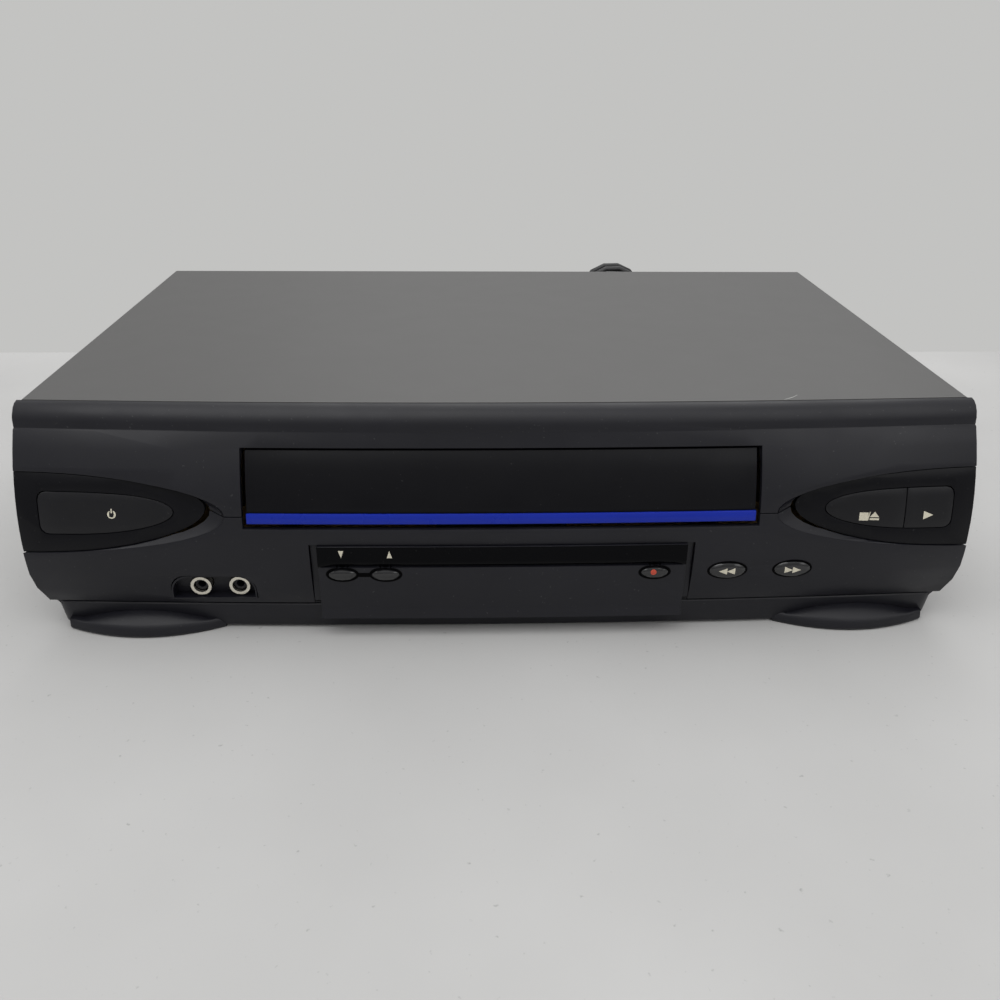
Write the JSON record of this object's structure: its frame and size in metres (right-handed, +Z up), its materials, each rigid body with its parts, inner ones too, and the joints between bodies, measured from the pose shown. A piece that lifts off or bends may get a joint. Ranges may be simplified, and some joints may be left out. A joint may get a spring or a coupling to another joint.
{
  "type": "video cassette recorder",
  "caption": "Front-loading video cassette recorder with a bowed front, eye-shaped button panels, sprung cassette door, tape mechanism and folded mains lead.",
  "frame": {"origin": "on the floor under the middle of the case, the mains lead left out", "axes": "+X to the viewer's right, +Y to the rear, +Z up"},
  "size_m": [0.362, 0.3237, 0.0899],
  "materials": {
    "case_black": "fine satin grain",
    "cover_paint": "fine textured paint",
    "gloss_black": "polished",
    "bar_blue": "gloss",
    "smoked_window": "polished, smoked",
    "button_black": "satin",
    "socket_nickel": "bright nickel",
    "zinc_sheet": "zinc plated",
    "board_tan": "phenolic paper board",
    "display_glass": "dark glass",
    "turned_aluminium": "fine turned",
    "white_nylon": "moulded nylon",
    "black_rubber": "matt",
    "core_steel": "varnished laminations",
    "capacitor_sleeve": "shrink sleeve",
    "black_screw": "blackened",
    "bearing_brass": "turned",
    "cord_vinyl": "satin vinyl"
  },
  "bodies": {
    "chassis": {"bottom_chassis": "case_black", "front_foot_left": "case_black", "front_foot_right": "case_black", "rear_foot_left": "black_rubber", "rear_foot_right": "black_rubber", "top_cover": "cover_paint", "cover_screw_left": "black_screw", "cover_screw_right": "black_screw", "front_panel_upper": "case_black", "front_panel_lower": "case_black", "eye_panel_left": "gloss_black", "eye_panel_right": "gloss_black", "display_bezel": "case_black", "display_window": "smoked_window", "front_socket_block": "case_black", "front_socket_sleeves": "socket_nickel", "operation_board": "board_tan", "display_tube": "display_glass", "rear_panel": "case_black", "rear_socket_block": "case_black", "rear_socket_sleeves": "socket_nickel", "tuner_box": "zinc_sheet", "main_board": "board_tan", "power_board": "board_tan", "power_transformer": "core_steel", "filter_capacitor": "capacitor_sleeve", "deck_plate": "zinc_sheet", "lower_drum": "turned_aluminium", "cassette_cage": "zinc_sheet", "capstan_bearing": "bearing_brass", "full_erase_head": "zinc_sheet", "audio_control_head": "zinc_sheet", "loading_motor": "zinc_sheet", "strain_relief": "cord_vinyl", "mains_cord": "cord_vinyl", "cord_hank": "cord_vinyl", "mains_tail": "cord_vinyl", "cord_tie": "cord_vinyl", "mains_plug": "cord_vinyl"},
    "door": {"cassette_door": "gloss_black", "door_bar": "bar_blue"},
    "power_button_body": {"power_button": "button_black"},
    "stop_eject_button_body": {"stop_eject_button": "button_black"},
    "play_button_body": {"play_button": "button_black"},
    "rewind_button_body": {"rewind_button": "button_black"},
    "forward_button_body": {"forward_button": "button_black"},
    "channel_down_button_body": {"channel_down_button": "button_black"},
    "channel_up_button_body": {"channel_up_button": "button_black"},
    "record_button_body": {"record_button": "button_black"},
    "drum": {"upper_drum": "turned_aluminium"},
    "capstan": {"capstan_flywheel": "zinc_sheet"},
    "pinch_arm_body": {"pinch_arm": "zinc_sheet"},
    "roller": {"pinch_roller": "black_rubber"},
    "supply_reel": {"supply_reel_table": "white_nylon"},
    "takeup_reel": {"takeup_reel_table": "white_nylon"},
    "slider": {"loading_slider": "zinc_sheet"},
    "holder": {"cassette_holder": "zinc_sheet"},
    "gear": {"loading_gear": "white_nylon"},
    "guide_left": {"guide_carriage_left": "zinc_sheet"},
    "guide_right": {"guide_carriage_right": "zinc_sheet"}
  },
  "joints": [
    {"name": "door_hinge", "type": "hinge", "parent": "chassis", "child": "door", "pos_m": [0, -0.09504, 0.0762], "axis": [1, 0, 0], "range_deg": [0, 108], "stiffness_Nm_per_rad": 0.004, "springref_deg": -45.84},
    {"name": "power_button_press", "type": "slide", "parent": "chassis", "child": "power_button_body", "axis": [0, 1, 0], "range_m": [0, 0.0008], "stiffness_N_per_m": 500, "springref_m": -0.0004},
    {"name": "stop_eject_button_press", "type": "slide", "parent": "chassis", "child": "stop_eject_button_body", "axis": [0, 1, 0], "range_m": [0, 0.0008], "stiffness_N_per_m": 500, "springref_m": -0.0004},
    {"name": "play_button_press", "type": "slide", "parent": "chassis", "child": "play_button_body", "axis": [0, 1, 0], "range_m": [0, 0.0008], "stiffness_N_per_m": 500, "springref_m": -0.0004},
    {"name": "rewind_button_press", "type": "slide", "parent": "chassis", "child": "rewind_button_body", "axis": [0, 1, 0], "range_m": [0, 0.0008], "stiffness_N_per_m": 500, "springref_m": -0.0004},
    {"name": "forward_button_press", "type": "slide", "parent": "chassis", "child": "forward_button_body", "axis": [0, 1, 0], "range_m": [0, 0.0008], "stiffness_N_per_m": 500, "springref_m": -0.0004},
    {"name": "channel_down_button_press", "type": "slide", "parent": "chassis", "child": "channel_down_button_body", "axis": [0, 1, 0], "range_m": [0, 0.0008], "stiffness_N_per_m": 500, "springref_m": -0.0004},
    {"name": "channel_up_button_press", "type": "slide", "parent": "chassis", "child": "channel_up_button_body", "axis": [0, 1, 0], "range_m": [0, 0.0008], "stiffness_N_per_m": 500, "springref_m": -0.0004},
    {"name": "record_button_press", "type": "slide", "parent": "chassis", "child": "record_button_body", "axis": [0, 1, 0], "range_m": [0, 0.0008], "stiffness_N_per_m": 500, "springref_m": -0.0004},
    {"name": "drum_spin", "type": "hinge", "parent": "chassis", "child": "drum", "pos_m": [0, 0.06316, 0.0217], "axis": [0, -0.0872, 0.9962], "continuous": true},
    {"name": "capstan_spin", "type": "hinge", "parent": "chassis", "child": "capstan", "pos_m": [0.0558, 0.03616, 0], "axis": [0, 0, 1], "continuous": true},
    {"name": "supply_reel_spin", "type": "hinge", "parent": "chassis", "child": "supply_reel", "pos_m": [-0.046, -0.01184, 0], "axis": [0, 0, 1], "continuous": true},
    {"name": "takeup_reel_spin", "type": "hinge", "parent": "chassis", "child": "takeup_reel", "pos_m": [0.046, -0.01184, 0], "axis": [0, 0, 1], "continuous": true},
    {"name": "pinch_arm_swing", "type": "hinge", "parent": "chassis", "child": "pinch_arm_body", "pos_m": [0.0818, 0.04316, 0.0285], "axis": [0, 0, 1], "range_deg": [0, 37], "stiffness_Nm_per_rad": 0.003, "springref_deg": -11.46},
    {"name": "pinch_roller_spin", "type": "hinge", "parent": "pinch_arm_body", "child": "roller", "pos_m": [0.06179, 0.06117, 0.0285], "axis": [0, 0, 1], "continuous": true},
    {"name": "slider_travel", "type": "slide", "parent": "chassis", "child": "slider", "axis": [0, 1, 0], "range_m": [0, 0.034]},
    {"name": "holder_drop", "type": "slide", "parent": "slider", "child": "holder", "axis": [0, 0, -1], "range_m": [0, 0.0205]},
    {"name": "loading_gear_spin", "type": "hinge", "parent": "chassis", "child": "gear", "pos_m": [0.097, -0.01684, 0.0262], "axis": [-1, 0, 0], "range_deg": [0, 261]},
    {"name": "guide_left_travel", "type": "slide", "parent": "chassis", "child": "guide_left", "axis": [-0.2079, 0.9781, 0], "range_m": [0, 0.036]},
    {"name": "guide_right_travel", "type": "slide", "parent": "chassis", "child": "guide_right", "axis": [0.2079, 0.9781, 0], "range_m": [0, 0.036]}
  ],
  "couplings": [
    {"joint": "loading_gear_spin", "follows": "slider_travel", "rad_per_m": 133.33},
    {"joint": "guide_right_travel", "follows": "guide_left_travel", "ratio": 1}
  ]
}
